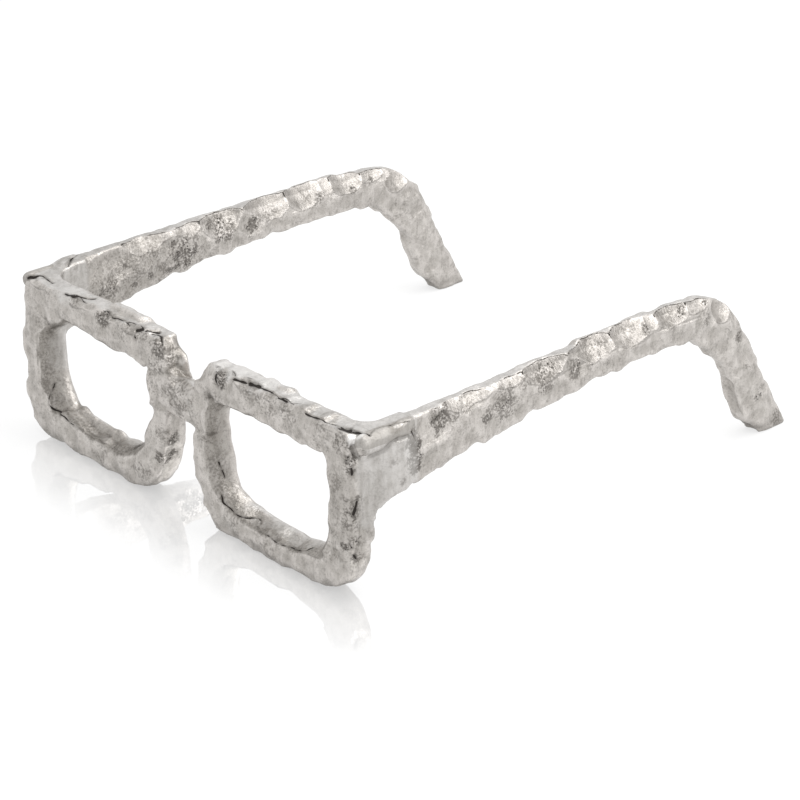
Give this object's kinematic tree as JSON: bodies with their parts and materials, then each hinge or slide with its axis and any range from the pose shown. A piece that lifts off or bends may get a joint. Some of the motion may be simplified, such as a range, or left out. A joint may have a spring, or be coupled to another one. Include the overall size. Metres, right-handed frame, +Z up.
{
  "type": "eyeglasses sculpture",
  "caption": "Tabletop sculpture of eyeglasses in hammered cast metal, with open rims, a lapped bridge and fixed temples that end in ear hooks.",
  "frame": {"origin": "middle of the footprint, at the height of the table that it stands on", "axes": "+Z up, +Y from the front of the rims back to the temple tips, +X to the rim on the right of the picture's view from the front"},
  "size_m": [0.2414, 0.2778, 0.0819],
  "materials": {
    "hammered": "nickel-plated rough casting, hammered, pitted and brushed back to a dull shine",
    "dressed": "nickel-plated, filed and ground smooth, satin",
    "dowel": "plain drawn rod"
  },
  "bodies": {
    "root": {"rim_left": "hammered", "rim_right": "hammered", "bridge": "hammered", "end_piece_left": "dressed", "end_piece_right": "dressed", "temple_left": "hammered", "temple_right": "hammered", "weld_bead_left": "dressed", "weld_bead_right": "dressed", "bridge_dowels": "dowel", "corner_dowels_left": "dowel", "corner_dowels_right": "dowel", "temple_dowel_left": "dowel", "temple_dowel_right": "dowel"}
  },
  "joints": []
}
